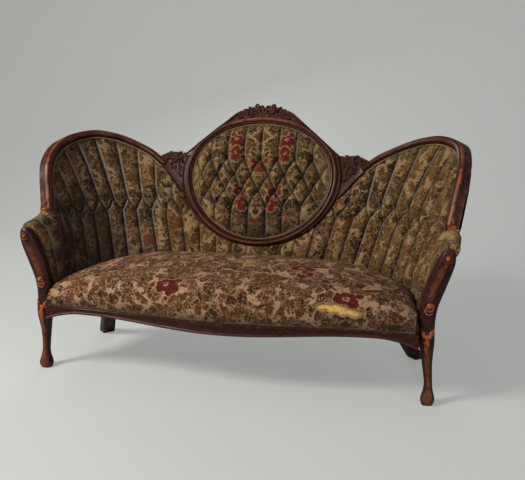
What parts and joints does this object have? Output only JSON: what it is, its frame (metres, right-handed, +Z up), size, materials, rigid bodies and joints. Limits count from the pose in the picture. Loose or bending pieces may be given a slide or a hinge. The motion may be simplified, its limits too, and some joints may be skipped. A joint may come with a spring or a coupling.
{
  "type": "upholstered medallion-back sofa",
  "caption": "Worn Victorian sofa: fluted tub back, tufted oval medallion in carved walnut, cabriole legs, torn tapestry seat.",
  "frame": {"origin": "on the floor under the middle of the sofa's bounding box", "axes": "+X along the length towards the sofa's left arm, which is on the right as seen from the front, +Y towards the back, +Z up; the seat faces -Y"},
  "size_m": [1.8492, 0.8422, 1.0956],
  "materials": {
    "walnut": "dark red-brown polish, worn to orange on the high points",
    "frame_wood": "bare sawn hardwood",
    "tapestry": "woven floral tapestry, soiled and worn",
    "back_cloth": "plain greyed cotton",
    "gimp": "flat greenish-gold braid",
    "foam": "yellowed foam filling",
    "jute": "plain woven jute",
    "cambric": "black dust-cover cloth",
    "spring_steel": "dulled spring wire"
  },
  "bodies": {
    "root": {"arm_pad_left": "tapestry", "arm_pad_right": "tapestry", "arm_rail_left": "frame_wood", "arm_rail_right": "frame_wood", "arm_stump_left": "frame_wood", "arm_stump_right": "frame_wood", "back_pad": "tapestry", "back_post_left": "walnut", "back_post_right": "walnut", "back_seat_rail": "frame_wood", "burlap": "jute", "corner_block_left": "frame_wood", "corner_block_right": "frame_wood", "crest_rail_left": "walnut", "crest_rail_right": "walnut", "dust_cover": "cambric", "front_post_left": "walnut", "front_post_right": "walnut", "front_seat_rail": "walnut", "medallion_lower_rail": "walnut", "medallion_pad": "tapestry", "outside_arm_left": "back_cloth", "outside_arm_right": "back_cloth", "outside_back": "back_cloth", "seat_cover": "tapestry", "seat_foam": "foam", "seat_gimp": "gimp", "seat_spring_1": "spring_steel", "seat_spring_2": "spring_steel", "seat_spring_3": "spring_steel", "seat_spring_4": "spring_steel", "seat_spring_5": "spring_steel", "seat_spring_6": "spring_steel", "seat_spring_7": "spring_steel", "seat_spring_8": "spring_steel", "side_seat_rail_left": "frame_wood", "side_seat_rail_right": "frame_wood", "spandrel_left": "walnut", "spandrel_right": "walnut", "webbing": "jute", "wing_rail_left": "walnut", "wing_rail_right": "walnut"}
  },
  "joints": []
}
